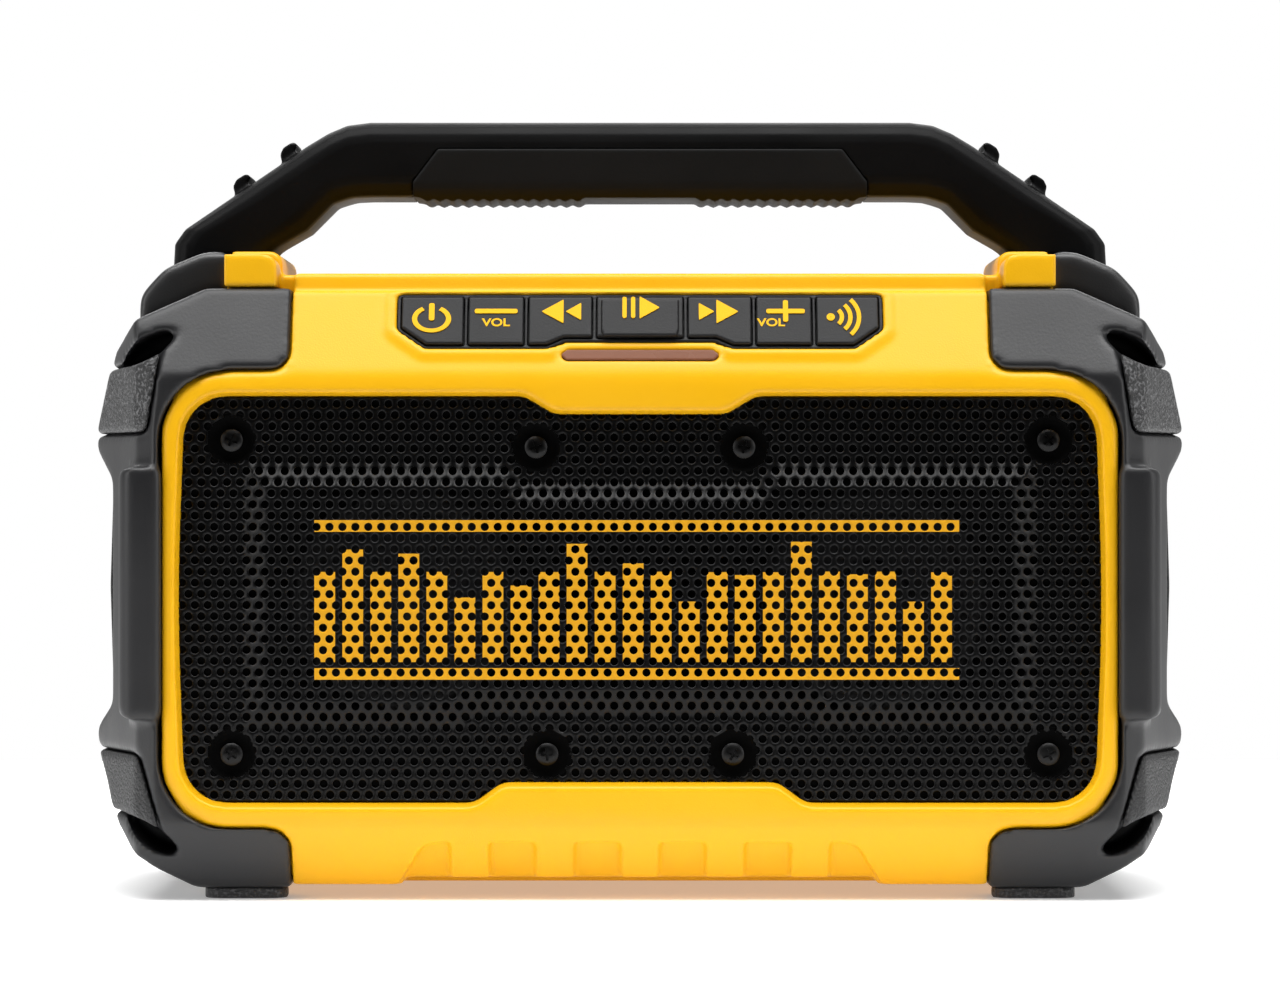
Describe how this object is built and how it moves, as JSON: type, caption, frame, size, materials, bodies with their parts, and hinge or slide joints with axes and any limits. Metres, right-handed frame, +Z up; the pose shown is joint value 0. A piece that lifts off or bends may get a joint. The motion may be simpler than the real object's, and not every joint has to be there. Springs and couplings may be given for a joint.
{
  "type": "portable speaker",
  "caption": "Rugged box-shaped wireless speaker with perforated metal grille, sloped key pad, wrap-around rubber guards, fixed carry handle and rear battery bay.",
  "frame": {"origin": "on the floor, under the middle of the housing", "axes": "+X to the right seen from the grille side, -Y out of the grille, +Z up"},
  "size_m": [0.2594, 0.126, 0.184],
  "materials": {
    "yellow_housing": "fine moulded grain",
    "guard_rubber": "satin overmould, rounded edges",
    "bumper_rubber": "textured",
    "shoulder_plastic": "satin",
    "handle_plastic": "fine moulded grain",
    "grip_rubber": "ribbed soft grip",
    "grille_steel": "black powder coat, perforated",
    "black_screw": "black oxide",
    "inner_plastic": "plain",
    "key_rubber": "satin silicone",
    "light_lens": "translucent",
    "circuit_board": "solder mask",
    "steel": "plated",
    "contact_brass": "plated",
    "seal_rubber": "soft",
    "cone_paper": "pulp cone",
    "bay_plastic": "moulded"
  },
  "bodies": {
    "root": {"front_shell": "yellow_housing", "rear_shell": "yellow_housing", "housing_seal": "seal_rubber", "grille": "grille_steel", "grille_screws": "black_screw", "baffle": "inner_plastic", "key_frame": "key_rubber", "key_board": "circuit_board", "dome_switches": "steel", "light_bar": "light_lens", "left_guard": "guard_rubber", "right_guard": "guard_rubber", "left_upper_bumper": "bumper_rubber", "left_lower_bumper": "bumper_rubber", "right_upper_bumper": "bumper_rubber", "right_lower_bumper": "bumper_rubber", "left_side_grip": "bumper_rubber", "right_side_grip": "bumper_rubber", "left_handle_shoulder": "shoulder_plastic", "right_handle_shoulder": "shoulder_plastic", "feet": "bumper_rubber", "handle": "handle_plastic", "handle_grip": "grip_rubber", "handle_screws": "steel", "left_driver_frame": "inner_plastic", "left_driver_magnet": "steel", "left_driver_surround": "seal_rubber", "right_driver_frame": "inner_plastic", "right_driver_magnet": "steel", "right_driver_surround": "seal_rubber", "driver_screws": "steel", "battery_bay": "bay_plastic", "terminal_block": "bay_plastic", "battery_contacts": "contact_brass", "main_board": "circuit_board", "board_screws": "steel", "housing_screws": "steel", "port_plate": "bay_plastic", "audio_jack": "bay_plastic", "usb_port": "steel", "power_inlet": "bay_plastic"},
    "power_button": {"power_key": "key_rubber"},
    "volume_down_button": {"volume_down_key": "key_rubber"},
    "previous_button": {"previous_key": "key_rubber"},
    "play_button": {"play_key": "key_rubber"},
    "next_button": {"next_key": "key_rubber"},
    "volume_up_button": {"volume_up_key": "key_rubber"},
    "pairing_button": {"pairing_key": "key_rubber"},
    "port_door": {"port_cover": "guard_rubber"},
    "left_cone": {"left_driver_cone": "cone_paper"},
    "right_cone": {"right_driver_cone": "cone_paper"}
  },
  "joints": [
    {"name": "power_button_press", "type": "slide", "parent": "root", "child": "power_button", "axis": [0, 0.8762, -0.4819], "range_m": [0, 0.0008], "stiffness_N_per_m": 1500},
    {"name": "volume_down_button_press", "type": "slide", "parent": "root", "child": "volume_down_button", "axis": [0, 0.8762, -0.4819], "range_m": [0, 0.0008], "stiffness_N_per_m": 1500},
    {"name": "previous_button_press", "type": "slide", "parent": "root", "child": "previous_button", "axis": [0, 0.8762, -0.4819], "range_m": [0, 0.0008], "stiffness_N_per_m": 1500},
    {"name": "play_button_press", "type": "slide", "parent": "root", "child": "play_button", "axis": [0, 0.8762, -0.4819], "range_m": [0, 0.0008], "stiffness_N_per_m": 1500},
    {"name": "next_button_press", "type": "slide", "parent": "root", "child": "next_button", "axis": [0, 0.8762, -0.4819], "range_m": [0, 0.0008], "stiffness_N_per_m": 1500},
    {"name": "volume_up_button_press", "type": "slide", "parent": "root", "child": "volume_up_button", "axis": [0, 0.8762, -0.4819], "range_m": [0, 0.0008], "stiffness_N_per_m": 1500},
    {"name": "pairing_button_press", "type": "slide", "parent": "root", "child": "pairing_button", "axis": [0, 0.8762, -0.4819], "range_m": [0, 0.0008], "stiffness_N_per_m": 1500},
    {"name": "port_door_hinge", "type": "hinge", "parent": "root", "child": "port_door", "pos_m": [-0.0528, 0.0595, 0.07805], "axis": [0, 0, -1], "range_deg": [0, 130]},
    {"name": "left_cone_stroke", "type": "slide", "parent": "root", "child": "left_cone", "axis": [0, 1, 0], "range_m": [-0.002, 0.002], "stiffness_N_per_m": 1200, "deforming": ["left_driver_surround"]},
    {"name": "right_cone_stroke", "type": "slide", "parent": "root", "child": "right_cone", "axis": [0, 1, 0], "range_m": [-0.002, 0.002], "stiffness_N_per_m": 1200, "deforming": ["right_driver_surround"]}
  ]
}
